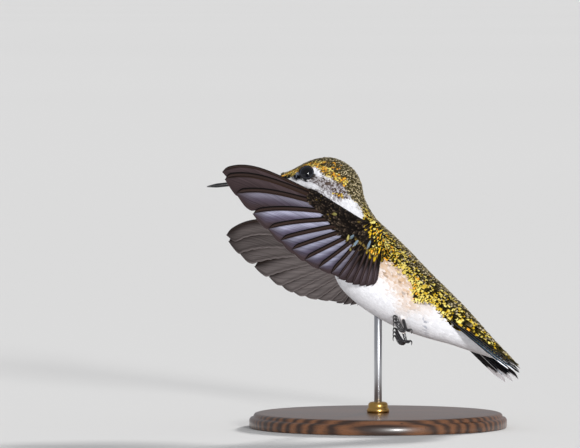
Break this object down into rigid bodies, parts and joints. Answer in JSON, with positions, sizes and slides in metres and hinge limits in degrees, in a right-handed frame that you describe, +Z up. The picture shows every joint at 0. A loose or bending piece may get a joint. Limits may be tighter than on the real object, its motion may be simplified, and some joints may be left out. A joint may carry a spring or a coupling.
{
  "type": "hummingbird",
  "caption": "Life-size hovering female hummingbird with wings swept forward, fanned tail, long slender bill and tucked feet, held on a slim rod over a round display base.",
  "frame": {"origin": "centre of the underside of the stand's base", "axes": "+Z up out of the base; the bill points along -X and the bird's left side is towards -Y"},
  "size_m": [0.0728, 0.0774, 0.0628],
  "materials": {
    "plumage": "overlapping body feathers, green-gold above and white below",
    "flight_feathers": "smooth brown-violet vanes with a soft sheen",
    "bill": "black horn, satin",
    "eye": "wet black gloss",
    "feet": "dark scaled skin",
    "stand_wood": "dark walnut, satin varnish",
    "stand_steel": "brushed",
    "stand_brass": "satin"
  },
  "bodies": {
    "root": {"head": "plumage", "neck": "plumage", "trunk": "plumage", "tail_coverts_upper": "plumage", "tail_coverts_lower": "plumage", "tail": "flight_feathers", "wing_left_arm": "plumage", "wing_left_hand": "plumage", "wing_left_primaries": "flight_feathers", "wing_left_secondaries": "flight_feathers", "wing_right_arm": "plumage", "wing_right_hand": "plumage", "wing_right_primaries": "flight_feathers", "wing_right_secondaries": "flight_feathers", "bill_upper": "bill", "bill_lower": "bill", "eye_left": "eye", "eye_right": "eye", "leg_left": "feet", "leg_right": "feet", "stand_base": "stand_wood", "stand_rod": "stand_steel", "stand_collar": "stand_brass"}
  },
  "joints": []
}
